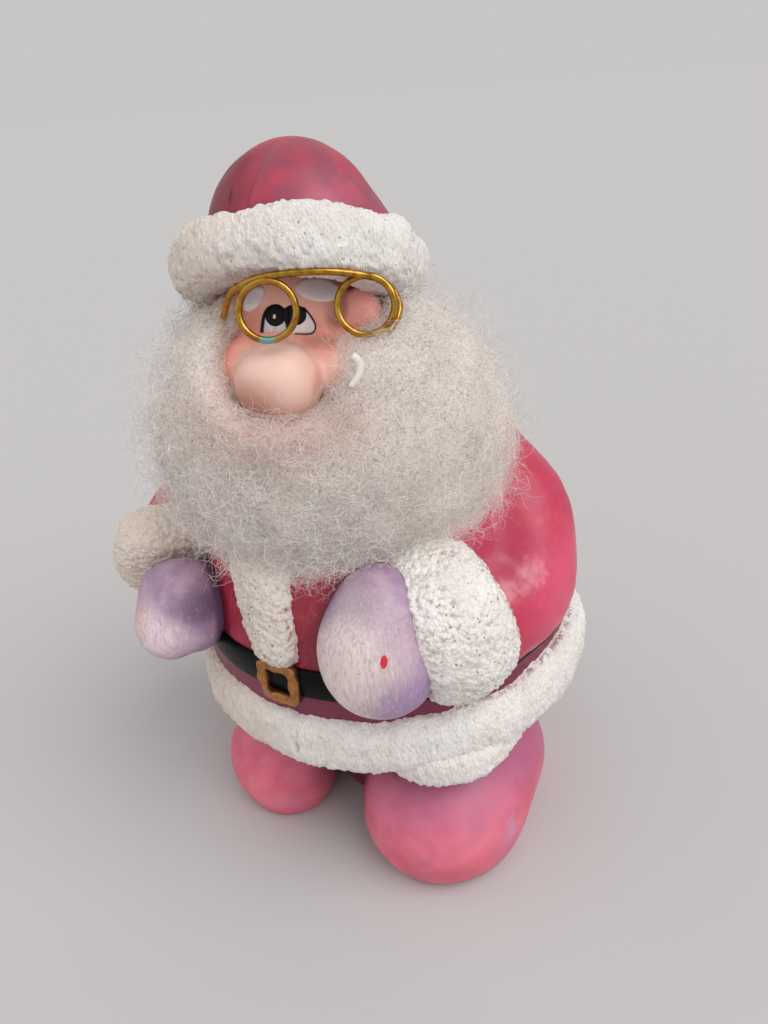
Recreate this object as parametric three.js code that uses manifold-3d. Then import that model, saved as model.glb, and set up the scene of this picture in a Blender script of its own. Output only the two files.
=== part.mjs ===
import * as THREE from "three";
import { mergeVertices } from "three/addons/utils/BufferGeometryUtils.js";
import Module from "manifold-3d";

// Santa figurine, in millimetres. The origin is on the floor under the jacket's axis.
// The front faces -Y, the figure's left is +X and up is +Z.

const wasm = await Module();
wasm.setup();

// Driving dimensions
const beardGap = 0.9;
const wireRadius = 0.5;

// Jacket: radius at height, from the flat underside of the hem to the neck. Its back is flatter
// and its left side is a little narrower.
const jacket = {
  outline: [
    [29, 24], [33.5, 27], [36, 33], [36.6, 40], [36.2, 46], [35.6, 52],
    [34.2, 58], [31.6, 65], [27.6, 72], [22, 78], [13, 82],
  ],
  top: 84,
};
const backDepth = 0.78;
const leftWidth = 0.965;
const hem = { radius: 33.2, halfWidth: 5.6, halfHeight: 6.2, height: 34 };
const belt = { radius: 37.4, bottom: 43, top: 48.9 };
const buckle = { width: 8.4, height: 8.4, bar: 1.9, depth: 4, proud: 1.3, middle: 45.7, turn: -4.5 };
const placket = { halfWidth: 6.3, proud: 3.4, from: 55, to: 70, turn: [-5, -14] };

// Boots, the casting that joins them at the middle, and the trouser legs behind them. Everything
// is cut off level at the floor.
const boots = [
  { at: [17.9, -17.5, 9], size: [16, 18, 15] },
  { at: [20.3, -10.5, 16], size: [14.6, 13, 15] },
  { at: [-18.4, -19.5, 9], size: [11.4, 11.6, 11.7] },
  { at: [-15.7, -21.5, 8.8], size: [9.3, 9.6, 13.3] },
  { at: [0, -8, 12], size: [12, 10, 20] },
];
const legs = { side: 12.5, forward: 4, radius: 15.5, top: 28 };
const floorCut = { side: 200, depth: 60 };

// Arms: stations from shoulder to wrist, each with its radius
const leftArm = {
  stations: [
    [[18.9, 3, 69.5], 9.5], [[26, -1.6, 64], 10.2], [[28.4, -8, 54.6], 10.4],
    [[25.6, -16.7, 52.5], 9.6],
  ],
  cuff: { at: [21.8, -24, 55.9], along: [-10.9, -12.1, -4.6], radius: 13.8, halfThickness: 9.2 },
  mitten: [
    { at: [15, -33.8, 54.5], size: [9.8, 9.2, 11.2] },
    { at: [15, -31.5, 61.8], size: [6.4, 5.8, 6.4] },
  ],
};
const rightArm = {
  stations: [
    [[-21.1, 1.9, 69.5], 9.5], [[-30, -1.6, 65], 10], [[-34.5, -9.8, 61], 9.4],
    [[-35.1, -17.9, 57.5], 8.6],
  ],
  cuff: { at: [-35.4, -21.4, 56.3], along: [9.5, -12.5, -7.5], radius: 11, halfThickness: 6 },
  mitten: [
    { at: [-27, -33.7, 49.9], size: [6.2, 6.8, 6.8] },
    { at: [-22.4, -31.6, 51.4], size: [5.4, 6.8, 6.9] },
    { at: [-26, -30.8, 53.6], size: [8, 7.6, 6.8] },
  ],
};

// Head: everything on it is placed in its own turned frame, apart from the neck
const head = { at: [-4.5, -14.5, 98], turn: 24, back: 18, lean: 6, size: [11.2, 11, 13.5] };
const nose = { at: [-1.5, -12.4, -7.6], size: [6.4, 5.4, 5.9] };
const cheeks = { side: 6.2, forward: -7.8, height: -5.2, radius: 4.7 };
const ears = [
  { at: [9.9, -6.5, 3.6], size: [3, 2.6, 3.4] },
  { at: [-10.6, -5, 3], size: [1.9, 2.2, 2.3] },
];
const brim = { radius: 15.2, halfWidth: 4.7, halfHeight: 4.9, height: 12.2 };
const hat = [
  { at: [-0.9, 0, 14.6], size: [13.4, 13.6, 14.3] },
  { at: [1.7, 0, 14.4], size: [13.4, 13.4, 7.4] },
];
const neck = [[[-1, -3, 76], 15], [[-4, -12, 90], 11]];

// Spectacles, in the head's frame: two rings under a wire that runs from temple to temple
const spectacles = {
  ringRadius: 3.95,
  rings: [[-2.4, -17.4, 2.3], [11, -16, 3.6]],
  bar: [
    [-10.7, -7.8, -1], [-9.8, -11, 1.5], [-8.3, -14, 4.3], [-6.4, -15.9, 5.6], [-2.9, -17.4, 6.8],
    [3.9, -18, 7.6], [9.5, -17, 7.6], [13.3, -14.8, 6.9], [15.4, -14.2, 4.6], [15.4, -14.6, 2.2],
    [14.2, -15.2, 0.2],
  ],
};

// Beard: the fluff round the face, and the thinner band behind the head
const beard = {
  front: { at: [1.6, -19, 82.5], size: [29, 18.4, 25.8] },
  back: { at: [-5, -12, 95], size: [22, 19.5, 12.5] },
  face: [
    { at: [2.8, -19.5, 4.2], size: [17, 20.5, 7.6] },
    { at: [-3.4, -20, -4.2], size: [12.6, 20.5, 11.2] },
  ],
};

// Sides round each form, and steps along it. A grown form only clears room in the beard, so it
// has fewer of both.
const detail = {
  jacket: [34], hem: [34, 8], post: [18], placket: [12, 8], boot: [16, 9],
  arm: [13, 11], cuff: [18, 6], mitten: [14, 8],
  head: [16, 11], nose: [14, 9], cheek: [12, 8], ear: [10, 6], brim: [28, 8], hat: [18, 9],
  neck: [16, 8], ring: [20, 8], wire: [24, 4], beard: [20, 13], face: [14, 10],
};
const grownShare = 0.7;

// Fullness of a rounded section: 1 is an ellipse, and less is nearer a box
const bandFullness = 0.75;
const cuffFullness = 0.5;

function counts(name, grow = 0) {
  return detail[name].map((count) => (grow > 0 ? Math.round(count * grownShare) : count));
}

const larger = (size, grow) => size.map((value) => value + grow);

// Forms, as closed geometries

function ball(at, size, [around, down]) {
  const geometry = new THREE.SphereGeometry(1, around, down);
  geometry.rotateX(Math.PI / 2);
  geometry.scale(...size);
  geometry.translate(...at);
  return geometry;
}

function revolved(points, around) {
  const profile = points.map(([radius, height]) => new THREE.Vector2(radius, height));
  const geometry = new THREE.LatheGeometry(profile, around);
  geometry.rotateX(Math.PI / 2);
  return geometry;
}

function flattenBack(geometry, leftShare = 1) {
  const position = geometry.attributes.position;
  for (let i = 0; i < position.count; i += 1) {
    if (position.getY(i) > 0) {
      position.setY(i, position.getY(i) * backDepth);
    }
    if (position.getX(i) > 0) {
      position.setX(i, position.getX(i) * leftShare);
    }
  }
  return geometry;
}

// A ring with a rounded section
function band({ radius, halfWidth, halfHeight, height }, grow, [around, section]) {
  const full = (value) => Math.sign(value) * Math.abs(value) ** bandFullness;
  const points = [];
  for (let i = 0; i < section; i += 1) {
    const angle = (2 * Math.PI * i) / section;
    points.push([
      radius + (halfWidth + grow) * full(Math.cos(angle)),
      height + (halfHeight + grow) * full(Math.sin(angle)),
    ]);
  }
  points.push(points[0]);
  return revolved(points, around);
}

// A disc with a rounded rim, square to the direction that it lies along
function puck({ at, along, radius, halfThickness }, grow, [around, rim]) {
  const points = [];
  for (let i = 0; i <= rim; i += 1) {
    const angle = -Math.PI / 2 + (Math.PI * i) / rim;
    const isPole = i === 0 || i === rim;
    const across = isPole ? 0 : (radius + grow) * Math.cos(angle) ** cuffFullness;
    points.push([across, (halfThickness + grow) * Math.sin(angle)]);
  }
  const geometry = revolved(points, around);
  const direction = new THREE.Vector3(...along).normalize();
  const turn = new THREE.Quaternion().setFromUnitVectors(new THREE.Vector3(0, 0, 1), direction);
  geometry.applyQuaternion(turn);
  geometry.translate(...at);
  return geometry;
}

// A limb along a smooth curve through its stations, with a round end at each side. The upright
// reference keeps its section from turning over, and changes where the limb is steep.
function limb(stations, grow, [around, along]) {
  const curve = new THREE.CatmullRomCurve3(stations.map(([at]) => new THREE.Vector3(...at)));
  const length = curve.getLength();
  const radii = stations.map(([, radius]) => radius + grow);
  const first = radii[0];
  const last = radii[radii.length - 1];
  const radiusAt = (share) => {
    const place = share * (radii.length - 1);
    const index = Math.min(Math.floor(place), radii.length - 2);
    return THREE.MathUtils.lerp(radii[index], radii[index + 1], place - index);
  };
  const chord = curve.getPoint(1).sub(curve.getPoint(0)).normalize();
  const isSteep = Math.abs(chord.z) > Math.SQRT1_2;
  const reference = isSteep ? new THREE.Vector3(0, 1, 0) : new THREE.Vector3(0, 0, 1);
  const geometry = new THREE.SphereGeometry(1, around, along);
  const position = geometry.attributes.position;
  for (let row = 0; row <= along; row += 1) {
    const travel = -first + ((length + first + last) * row) / along;
    const share = THREE.MathUtils.clamp(travel / length, 0, 1);
    const past = travel - share * length;
    const endRadius = share === 0 ? first : last;
    const capRadius = Math.sqrt(Math.max(endRadius ** 2 - past ** 2, 0));
    const isPole = row === 0 || row === along;
    const radius = isPole ? 0 : Math.min(capRadius, radiusAt(share));
    const tangent = curve.getTangentAt(share);
    const centre = curve.getPointAt(share).addScaledVector(tangent, past);
    const across = reference.clone().cross(tangent).normalize();
    const up = tangent.clone().cross(across);
    for (let column = 0; column <= around; column += 1) {
      const angle = (2 * Math.PI * (column % around)) / around;
      const point = centre.clone();
      point.addScaledVector(across, -radius * Math.cos(angle));
      point.addScaledVector(up, radius * Math.sin(angle));
      position.setXYZ(row * (around + 1) + column, point.x, point.y, point.z);
    }
  }
  return geometry;
}

function wire(points, [steps, curveSegments]) {
  const curve = new THREE.CatmullRomCurve3(points.map((point) => new THREE.Vector3(...point)));
  const section = new THREE.Shape().absarc(0, 0, wireRadius, 0, 2 * Math.PI);
  const settings = { steps, curveSegments, bevelEnabled: false, extrudePath: curve };
  return new THREE.ExtrudeGeometry(section, settings);
}

function turnAbout(axis, degrees) {
  const angle = THREE.MathUtils.degToRad(degrees);
  return new THREE.Matrix4().makeRotationAxis(new THREE.Vector3(...axis), angle);
}

function onHead(geometry) {
  const matrix = turnAbout([0, 0, 1], head.turn);
  matrix.multiply(turnAbout([0, 1, 0], head.lean));
  matrix.multiply(turnAbout([1, 0, 0], -head.back));
  matrix.setPosition(...head.at);
  return geometry.applyMatrix4(matrix);
}

// A geometry as a solid that can be cut, and several joined into one

function solid(geometry) {
  const bare = geometry.clone();
  bare.deleteAttribute("normal");
  bare.deleteAttribute("uv");
  const merged = mergeVertices(bare, 1e-5);
  const mesh = new wasm.Mesh({
    numProp: 3,
    vertProperties: new Float32Array(merged.attributes.position.array),
    triVerts: new Uint32Array(merged.index.array),
  });
  return new wasm.Manifold(mesh);
}

function join(geometries) {
  return geometries.map(solid).reduce((whole, part) => whole.add(part));
}

// The cast figure, as lists of forms. Most can be grown, to clear a space round them in the beard.

function jacketRadius(height) {
  const above = jacket.outline.findIndex(([, top]) => top >= height);
  const [lowRadius, low] = jacket.outline[above - 1];
  const [highRadius, high] = jacket.outline[above];
  return THREE.MathUtils.mapLinear(height, low, high, lowRadius, highRadius);
}

function jacketForms(grow) {
  const outline = jacket.outline.map(([radius, height]) => [radius + grow, height]);
  const [, bottom] = jacket.outline[0];
  const closed = [[0, bottom - grow], ...outline, [0, jacket.top + grow]];
  const [around] = counts("jacket", grow);
  return [
    flattenBack(revolved(closed, around), leftWidth),
    flattenBack(band(hem, grow, counts("hem", grow))),
  ];
}

function placketForm(grow) {
  const stations = [0, 1, 2, 3].map((step) => {
    const share = step / 3;
    const height = THREE.MathUtils.lerp(placket.from, placket.to, share);
    const turn = THREE.MathUtils.degToRad(THREE.MathUtils.lerp(...placket.turn, share));
    const radius = jacketRadius(height) + placket.proud - placket.halfWidth;
    return [[radius * Math.sin(turn), -radius * Math.cos(turn), height], placket.halfWidth];
  });
  return limb(stations, grow, counts("placket", grow));
}

function armForms({ stations, cuff, mitten }, grow) {
  return [
    limb(stations, grow, counts("arm", grow)),
    puck(cuff, grow, counts("cuff", grow)),
    ...mitten.map(({ at, size }) => ball(at, larger(size, grow), counts("mitten", grow))),
  ];
}

function headForms(grow) {
  const forms = [
    ball([0, 0, 0], larger(head.size, grow), counts("head", grow)),
    ball(nose.at, larger(nose.size, grow), counts("nose", grow)),
    band(brim, grow, counts("brim", grow)),
    ...hat.map(({ at, size }) => ball(at, larger(size, grow), counts("hat", grow))),
    ...ears.map(({ at, size }) => ball(at, larger(size, grow), counts("ear", grow))),
  ];
  for (const side of [-1, 1]) {
    const cheek = [side * cheeks.side, cheeks.forward, cheeks.height];
    forms.push(ball(cheek, larger(Array(3).fill(cheeks.radius), grow), counts("cheek", grow)));
  }
  return [...forms.map(onHead), limb(neck, grow, counts("neck", grow))];
}

function upperForms(grow) {
  return [
    ...jacketForms(grow), placketForm(grow), ...armForms(leftArm, grow),
    ...armForms(rightArm, grow), ...headForms(grow),
  ];
}

function beltForm() {
  const { radius, bottom, top } = belt;
  const [around] = counts("jacket");
  const disc = revolved([[0, bottom], [radius, bottom], [radius, top], [0, top]], around);
  return flattenBack(disc, leftWidth);
}

function makeBuckle() {
  const { width, height, bar, depth, proud, middle, turn } = buckle;
  const place = turnAbout([0, 0, 1], turn);
  place.multiply(new THREE.Matrix4().makeTranslation(0, depth / 2 - belt.radius - proud, middle));
  const plate = new THREE.BoxGeometry(width, depth, height);
  const hole = new THREE.BoxGeometry(width - 2 * bar, depth * 2, height - 2 * bar);
  return solid(plate.applyMatrix4(place)).subtract(solid(hole.applyMatrix4(place)));
}

function footForms() {
  const forms = boots.map(({ at, size }) => ball(at, size, counts("boot")));
  const [around] = counts("post");
  for (const side of [-1, 1]) {
    const post = revolved([[0, 0], [legs.radius, 0], [legs.radius, legs.top], [0, legs.top]], around);
    forms.push(post.translate(side * legs.side, legs.forward, 0));
  }
  return forms;
}

function makeFigure() {
  const { side, depth } = floorCut;
  const below = new THREE.BoxGeometry(side, side, depth).translate(0, 0, -depth / 2);
  const whole = join([...upperForms(0), beltForm(), ...footForms()]);
  return whole.add(makeBuckle()).subtract(solid(below));
}

function makeSpectacles() {
  const { ringRadius, rings, bar } = spectacles;
  const [around, section] = counts("ring");
  const forms = rings.map((at) => {
    const ring = new THREE.TorusGeometry(ringRadius, wireRadius, section, around);
    ring.rotateX(Math.PI / 2);
    return ring.translate(...at);
  });
  forms.push(wire(bar, counts("wire")));
  return join(forms.map(onHead));
}

// Beard: fluff in front and behind, open over the face and clear of the casting
function makeBeard() {
  const { front, back, face } = beard;
  const fluff = ball([0, 0, 0], front.size, counts("beard"));
  fluff.applyMatrix4(turnAbout([0, 0, 1], head.turn)).translate(...front.at);
  const whole = join([fluff, ball(back.at, back.size, counts("beard"))]);
  const openings = face.map(({ at, size }) => onHead(ball(at, size, counts("face"))));
  return whole.subtract(join([...upperForms(beardGap), ...openings]));
}

function named(name, manifold, material) {
  const { vertProperties, triVerts } = manifold.getMesh();
  const geometry = new THREE.BufferGeometry();
  geometry.setAttribute("position", new THREE.BufferAttribute(vertProperties, 3));
  geometry.setIndex(new THREE.BufferAttribute(triVerts, 1));
  geometry.computeVertexNormals();
  const mesh = new THREE.Mesh(geometry, material);
  mesh.name = name;
  return mesh;
}

const ceramic = new THREE.MeshStandardMaterial({ color: 0xc2506e, roughness: 0.6, metalness: 0 });
const brass = new THREE.MeshStandardMaterial({ color: 0xb08a3c, roughness: 0.3, metalness: 1 });
const fluff = new THREE.MeshStandardMaterial({ color: 0xd8d4d0, roughness: 1, metalness: 0 });

const santa = new THREE.Group();
santa.add(named("figure", makeFigure(), ceramic));
santa.add(named("beard", makeBeard(), fluff));
santa.add(named("spectacles", makeSpectacles(), brass));

export default santa;
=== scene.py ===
import math

import bpy
import numpy as np
from mathutils import Matrix, Vector


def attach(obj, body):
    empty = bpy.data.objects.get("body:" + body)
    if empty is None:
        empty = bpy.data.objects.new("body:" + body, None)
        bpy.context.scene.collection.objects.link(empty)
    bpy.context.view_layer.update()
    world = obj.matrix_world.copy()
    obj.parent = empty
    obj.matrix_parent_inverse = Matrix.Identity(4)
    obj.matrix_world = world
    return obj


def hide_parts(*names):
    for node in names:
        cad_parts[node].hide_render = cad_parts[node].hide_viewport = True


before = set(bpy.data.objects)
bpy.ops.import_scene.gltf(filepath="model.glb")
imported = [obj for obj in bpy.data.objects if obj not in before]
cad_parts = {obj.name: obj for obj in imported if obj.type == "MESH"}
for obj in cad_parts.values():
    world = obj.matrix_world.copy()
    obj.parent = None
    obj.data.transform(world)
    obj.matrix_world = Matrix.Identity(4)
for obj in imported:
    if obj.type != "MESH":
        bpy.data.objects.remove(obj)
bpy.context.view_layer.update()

# Sizes and places are in millimetres in the frame's own axes: the front faces -Y, the
# figure's left is +X and up is +Z. They become metres when a mesh is made.
METRES = 0.001
TINY = 1e-9
FAR = 1e9

# Camera: how it stands to the figure, its lens in pixels of the 768 x 1024 picture, and the
# nearest and farthest that it sees, in metres
CAMERA = {"turn": 28, "out": 135, "height": 131, "down": 28, "roll": 5, "focal": 790}
PICTURE_HEIGHT = 1024
SENSOR = 36
CLIP = (0.005, 50)

# Body
JACKET = [
    (29, 24), (33.5, 27), (36, 33), (36.6, 40), (36.2, 46), (35.6, 52),
    (34.2, 58), (31.6, 65), (27.6, 72), (22, 78), (13, 82),
]
BACK_DEPTH = 0.78
LEFT_WIDTH = 0.965
# A ring of fur is at a radius and a height, and has half a width and half a height
HEM = {"at": (33.2, 34), "half": (5.6, 6.2), "rise": 3.0}
BELT = {"radius": 36.95, "bottom": 43, "top": 48.9, "half_width": 2, "counts": (180, 16)}
BUCKLE = {
    "width": 8.4, "height": 8.4, "bar": 2.0, "thick": 1.5, "radius": 37.2, "middle": 45.7, "turn": -4.5,
    "counts": (160, 20),
}
PLACKET = {
    "low": 48.9, "high": 76, "half": (3.2, 5.1, 6.5, 6.6), "bearing": (-3.4, -14.2, -15),
    "proud": 3.2, "sunk": 0.5,
}
BOOTS = [
    ((17.9, -17.5, 9), (16, 18, 15)), ((20.3, -10.5, 16), (14.6, 13, 15)),
    ((-18.4, -19.5, 9), (11.4, 11.6, 11.7)), ((-15.7, -21.5, 8.8), (9.3, 9.6, 13.3)),
    ((0, -8, 12), (12, 10, 20)),
]
LEGS = {"side": 12.5, "forward": 4, "radius": 15.5, "top": 28, "blend": 3}
BOOT_FUR = {"at": (18.4, -15.5, 28.6), "radii": (11.2, 14.6), "half": (2.9, 3.6)}

# Arms: places from shoulder to wrist with their radii, then the cuff and the mitten
LEFT_ARM = {
    "stations": [
        ((18.9, 3, 69.5), 9.5), ((26, -1.6, 64), 10.2), ((28.4, -8, 54.6), 10.4),
        ((25.6, -16.7, 52.5), 9.6),
    ],
    "cuff": {
        "at": (21.8, -24, 55.9), "along": (-10.9, -12.1, -4.6), "radius": 13.8, "half": 9.2, "stain": 1,
    },
    "mitten": [((15, -33.8, 54.5), (9.8, 9.2, 11.2)), ((15, -31.5, 61.8), (6.4, 5.8, 6.4))],
    "knit": 4,
}
RIGHT_ARM = {
    "stations": [
        ((-21.1, 1.9, 69.5), 9.5), ((-30, -1.6, 65), 10), ((-34.5, -9.8, 61), 9.4),
        ((-35.1, -17.9, 57.5), 8.6),
    ],
    "cuff": {
        "at": (-35.4, -21.4, 56.3), "along": (9.5, -12.5, -7.5), "radius": 11, "half": 6, "stain": 0.3,
    },
    "mitten": [
        ((-27, -33.7, 49.9), (6.2, 6.8, 6.8)), ((-22.4, -31.6, 51.4), (5.4, 6.8, 6.9)),
        ((-26, -30.8, 53.6), (8, 7.6, 6.8)),
    ],
    "knit": 1.3,
}

# Head, in its own turned frame
HEAD = {"at": (-4.5, -14.5, 98), "turn": 24, "lean": 6, "back": 18, "size": (11.2, 11, 13.5)}
HEAD_TURN = (-HEAD["back"], HEAD["lean"], HEAD["turn"])
NOSE = {"at": (-1.5, -12.4, -7.6), "size": (6.4, 5.4, 5.9)}
CHEEKS = {"side": 6.2, "forward": -7.8, "height": -5.2, "radius": 4.7}
EARS = [((9.9, -6.5, 3.6), (3, 2.6, 3.4)), ((-10.6, -5, 3), (1.9, 2.2, 2.3))]
BRIM = {"at": (15.2, 12.2), "half": (4.7, 4.9), "droop": 2.4}
# Single lumps of the brim's fur: a place, a width and a height
BRIM_BUMPS = [
    ((-7.6, -15, 16.4), 4.2, -1.5), ((-9.2, -15, 16.2), 1.5, 0.7), ((14.4, -9.4, 15.6), 2.4, 1.5),
    ((-2.5, -15, 16.5), 2.6, -0.7), ((5.5, -14.2, 16.4), 4.5, 0.7),
]
HAT = [((-0.9, 0, 14.6), (13.4, 13.6, 14.3)), ((1.7, 0, 14.4), (13.4, 13.4, 7.4))]
HAT_FOLD = [(-5.6, -14.5, 126.5), (-6.7, -18.7, 123.1), (-7.4, -22.4, 118.5), (-8.4, -24, 114.5)]
NECK = [((-1, -3, 76), 15), ((-4, -12, 90), 11)]

# Spectacles, in the head's frame
WIRE_RADIUS = 0.5
RING_RADIUS = 3.95
RINGS = [(-2.4, -17.4, 2.3), (11, -16, 3.6)]
BAR = [
    (-10.7, -7.8, -1), (-9.8, -11, 1.5), (-8.3, -14, 4.3), (-6.4, -15.9, 5.6),
    (-2.9, -17.4, 6.8), (3.9, -18, 7.6), (9.5, -17, 7.6), (13.3, -14.8, 6.9),
    (15.4, -14.2, 4.6), (15.4, -14.6, 2.2), (14.2, -15.2, 0.2),
]

# Beard
BEARD_FRONT = {"at": (1.6, -19, 82.5), "size": (29, 18.4, 25.8)}
BEARD_BACK = {"at": (-5, -12, 95), "size": (22, 19.5, 12.5)}
FACE_OPENING = [((2.8, -22, 4.2), (15.6, 19.5, 6.4)), ((-1.5, -22, -4.0), (10.3, 19.5, 9.3))]

rng = np.random.default_rng(20261126)


def joined(*parts):
    """Arrays side by side, such as coordinates."""
    return np.stack(parts, axis=-1)


def length(vectors, keep=False):
    return np.linalg.norm(vectors, axis=-1, keepdims=keep)


def unit(vectors):
    return vectors / np.maximum(length(vectors, True), TINY)


def direction(vector):
    vector = np.array(vector, float)
    return vector / np.linalg.norm(vector)


def full_turn(steps):
    """Angles evenly round a circle."""
    return np.linspace(0, 2 * math.pi, steps, endpoint=False)


# Fields: each gives the distance of every point from a surface, negative inside


def ellipsoid(points, at, size):
    """Distance from an ellipsoid, or in a plane from an ellipse."""
    offset = points - at
    size = np.array(size, float)
    scaled = length(offset / size)
    slope = length(offset / size**2)
    return scaled * (scaled - 1) / np.maximum(slope, TINY)


def smooth_path(points, steps):
    """Points along a Catmull-Rom curve through the given ones."""
    points = np.array(points, float)
    padded = np.vstack([2 * points[0] - points[1], points, 2 * points[-1] - points[-2]])
    place = np.linspace(0, len(points) - 1, steps + 1)
    index = np.minimum(place.astype(int), len(points) - 2)
    t = (place - index)[:, None]
    a, b, c, d = (padded[index + i] for i in range(4))
    return 0.5 * (
        2 * b + (c - a) * t + (2 * a - 5 * b + 4 * c - d) * t**2 + (3 * b - a - 3 * c + d) * t**3
    )


def capsules(points, path, radii):
    """Distance from a chain of round-ended cones."""
    nearest = FAR
    for start, end, wide, narrow in zip(path, path[1:], radii, radii[1:]):
        along = end - start
        share = np.clip((points - start) @ along / (along @ along), 0, 1)
        gap = length(points - start - share[..., None] * along)
        nearest = np.minimum(nearest, gap - (wide + (narrow - wide) * share))
    return nearest


def limb(points, stations, steps=14):
    centres, radii = zip(*stations)
    places = np.linspace(0, len(stations) - 1, steps + 1)
    return capsules(points, smooth_path(centres, steps), np.interp(places, range(len(stations)), radii))


def blend(first, second, width):
    """Smooth union, with a fillet about as wide as given."""
    overlap = np.maximum(width - np.abs(first - second), 0) / width
    return np.minimum(first, second) - overlap**2 * width / 4


def carve(first, second, width):
    """First with second smoothly cut out of it."""
    return -blend(-first, second, width)


def spin(angle, axis):
    return Matrix.Rotation(math.radians(angle), 3, axis)


HEAD_AXES = np.array(spin(HEAD["turn"], "Z") @ spin(HEAD["lean"], "Y") @ spin(-HEAD["back"], "X"))


def to_head(points):
    return (points - HEAD["at"]) @ HEAD_AXES


def from_head(points):
    return np.asarray(points, float) @ HEAD_AXES.T + HEAD["at"]


def head_place(at):
    return tuple(from_head([at])[0])


JACKET_CURVE = smooth_path(JACKET, 80)
JACKET_SLOPE = np.gradient(JACKET_CURVE[:, 0], JACKET_CURVE[:, 1])


def round_plan(points):
    """Radius and height on the jacket's plan, whose back is flattened."""
    depth = np.where(points[..., 1] > 0, points[..., 1] / BACK_DEPTH, points[..., 1])
    return np.hypot(points[..., 0], depth), points[..., 2]


def jacket_field(points):
    x = points[..., 0]
    wider = joined(np.where(x > 0, x / LEFT_WIDTH, x), points[..., 1], points[..., 2])
    radius, height = round_plan(wider)
    wide = np.interp(height, JACKET_CURVE[:, 1], JACKET_CURVE[:, 0])
    slope = np.interp(height, JACKET_CURVE[:, 1], JACKET_SLOPE)
    side = (radius - wide) / np.sqrt(1 + slope**2)
    body = np.maximum(side, np.maximum(JACKET[0][1] - height, height - JACKET[-1][1]))
    for arm in (LEFT_ARM, RIGHT_ARM):
        body = blend(body, limb(points, arm["stations"]), 2.2)
    return blend(body, limb(points, NECK, 6), 2)


def boots_field(points):
    whole = FAR
    for side in (-1, 1):
        across = points[..., :2] - (side * LEGS["side"], LEGS["forward"])
        post = np.maximum(length(across) - LEGS["radius"], points[..., 2] - LEGS["top"])
        whole = blend(whole, post, LEGS["blend"])
    for at, size in BOOTS:
        whole = blend(whole, ellipsoid(points, at, size), LEGS["blend"])
    return carve(whole, points[..., 2], 1.2)


def head_field(points):
    local = to_head(points)
    skull = ellipsoid(local, (0, 0, 0), HEAD["size"])
    for side in (-1, 1):
        cheek = side * CHEEKS["side"], CHEEKS["forward"], CHEEKS["height"]
        skull = blend(skull, length(local - cheek) - CHEEKS["radius"], 2.4)
    for at, size in EARS:
        skull = blend(skull, ellipsoid(local, at, size), 1.2)
    return blend(skull, ellipsoid(local, NOSE["at"], NOSE["size"]), 1.5)


def hat_field(points):
    local = to_head(points)
    crown, foot = (ellipsoid(local, at, size) for at, size in HAT)
    crown = blend(crown, foot, 3)
    fold = capsules(points, np.array(HAT_FOLD), [0.5, 1.1, 1.2, 0.8])
    crown = carve(crown, fold, 2.2)
    return np.maximum(crown, BRIM["at"][1] - 1.5 - local[..., 2])


def mitten_field(arm):
    def field(points):
        whole, *lobes = (ellipsoid(points, at, size) for at, size in arm["mitten"])
        for lobe in lobes:
            whole = blend(whole, lobe, arm["knit"])
        return whole

    return field


def hem_rise(x, y):
    """How much higher the hem sits towards the figure's left and back."""
    return HEM["rise"] * np.clip((x + y - 10) / 45, 0, 1)


def brim_drop(x, radius):
    """How much lower the brim sits towards its two sides."""
    side = x / np.maximum(radius, TINY)
    return side**2 * (BRIM["droop"] - 0.9 * side)


def ring_field(ring, across, level):
    """Distance from a ring of elliptical section."""
    return ellipsoid(joined(across, level), ring["at"], ring["half"])


def brim_field(points):
    local = to_head(points)
    radius = np.hypot(local[..., 0], local[..., 1])
    return ring_field(BRIM, radius, local[..., 2] + brim_drop(local[..., 0], radius))


def hem_field(points):
    radius, height = round_plan(points)
    return ring_field(HEM, radius, height - hem_rise(points[..., 0], points[..., 1]))


def cuff_field(points, cuff):
    along = direction(cuff["along"])
    offset = points - cuff["at"]
    lift = offset @ along
    across = length(offset - lift[..., None] * along)
    return np.hypot(across / cuff["radius"], lift / cuff["half"]) * cuff["half"] - cuff["half"]


def casting_field(points):
    """The whole casting."""
    fields = (jacket_field, boots_field, head_field, hat_field, brim_field, hem_field)
    parts = [field(points) for field in fields]
    for arm in (LEFT_ARM, RIGHT_ARM):
        parts += [cuff_field(points, arm["cuff"]), mitten_field(arm)(points)]
    return np.minimum.reduce(parts)


def beard_field(points):
    """The fluff's outer surface."""
    turned = (points - BEARD_FRONT["at"]) @ np.array(spin(HEAD["turn"], "Z"))
    front = ellipsoid(turned, (0, 0, 0), BEARD_FRONT["size"])
    back = ellipsoid(points, BEARD_BACK["at"], BEARD_BACK["size"])
    upper, lower = (ellipsoid(to_head(points), at, size) for at, size in FACE_OPENING)
    return carve(blend(front, back, 4), blend(upper, lower, 3), 4)


# Noise that has the same value at the same place every time


def hashed(cells, seed):
    """Repeatable random numbers from 0 to 1 for whole-number places."""
    mixed = (cells @ (374761393, 668265263, 2147483647) + seed * 1274126177) & 0xFFFFFFFF
    for shift, factor in ((13, 1274126177), (16, 2246822519)):
        mixed = ((mixed ^ (mixed >> shift)) * factor) & 0xFFFFFFFF
    return ((mixed ^ (mixed >> 15)) & 0xFFFFFF) / 0xFFFFFF


def noise(points, size, seed=0):
    """Smooth noise from -1 to 1 whose lumps are about the given size."""
    scaled = points / size
    cells = np.floor(scaled).astype(np.int64)
    part = scaled - cells
    part = part * part * (3 - 2 * part)
    total = 0
    for corner in np.ndindex(2, 2, 2):
        weight = np.prod(np.where(corner, part, 1 - part), axis=-1)
        total = total + weight * hashed(cells + corner, seed)
    return total * 2 - 1


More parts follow.
